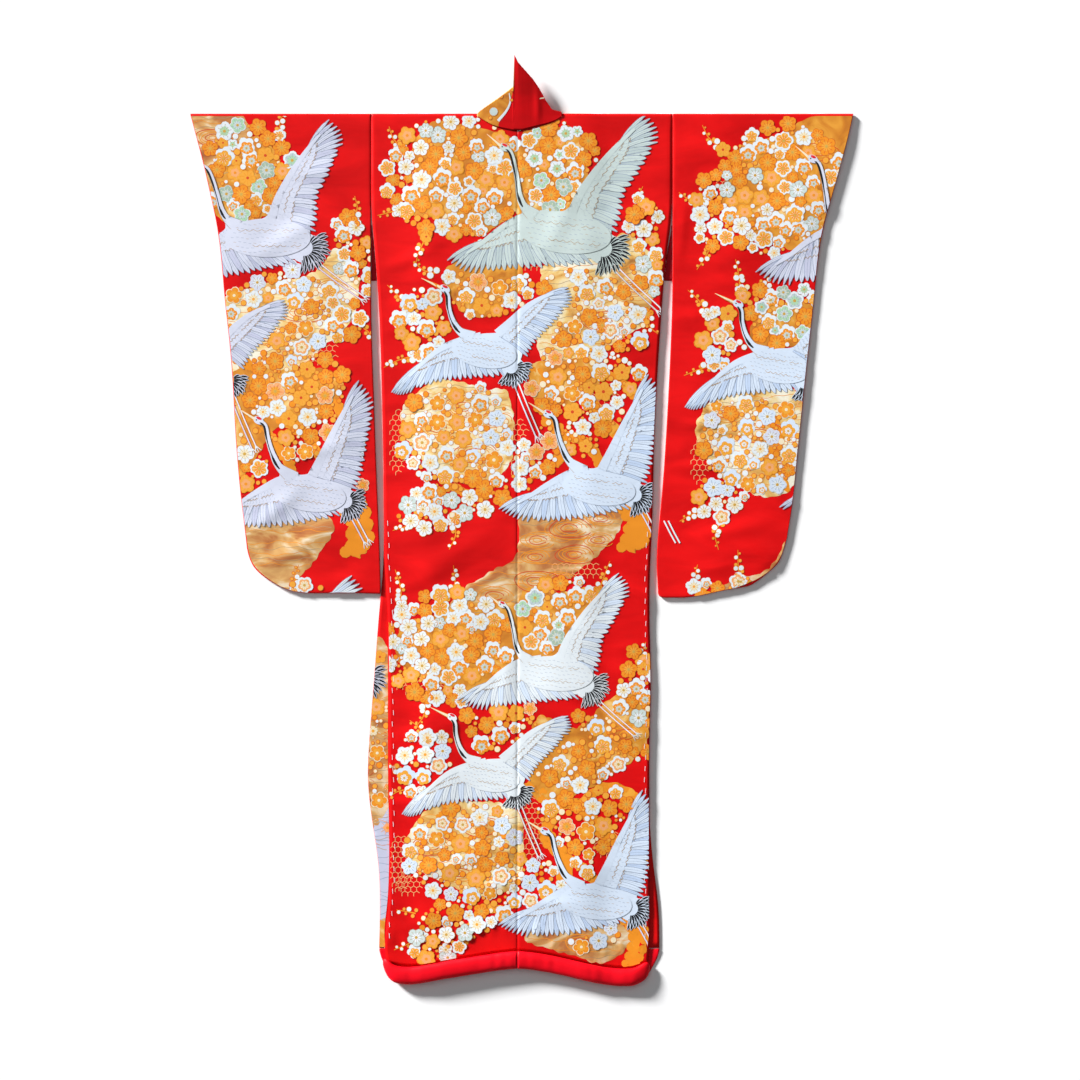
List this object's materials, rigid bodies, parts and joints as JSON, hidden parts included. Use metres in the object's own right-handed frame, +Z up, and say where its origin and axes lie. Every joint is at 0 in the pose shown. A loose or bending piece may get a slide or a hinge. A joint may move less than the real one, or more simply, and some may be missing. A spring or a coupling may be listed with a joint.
{
  "type": "uchikake wedding kimono",
  "caption": "Long padded over-kimono laid flat, back up, with long hanging sleeves, a standing folded collar and a wadded hem roll.",
  "frame": {"origin": "middle of the box's base, on the surface that the garment lies on", "axes": "+Y from the hem towards the collar, +X towards the wearer's right, +Z up from the surface, out of the garment's back"},
  "size_m": [1.368, 1.9184, 0.0336],
  "materials": {
    "brocade": "red satin brocade with woven gold, white and orange figures",
    "red_satin": "plain red satin, soft sheen",
    "lining": "dark red plain silk lining"
  },
  "bodies": {
    "root": {"body_left": "brocade", "body_right": "brocade", "okumi_left": "brocade", "okumi_right": "brocade", "sleeve_left": "brocade", "sleeve_right": "brocade", "collar_neck": "red_satin", "collar_left": "brocade", "collar_right": "brocade", "fuki_back_left": "red_satin", "fuki_back_right": "red_satin", "fuki_front_left": "red_satin", "fuki_front_right": "red_satin", "lining_armhole_left": "lining", "lining_armhole_right": "lining"}
  },
  "joints": []
}
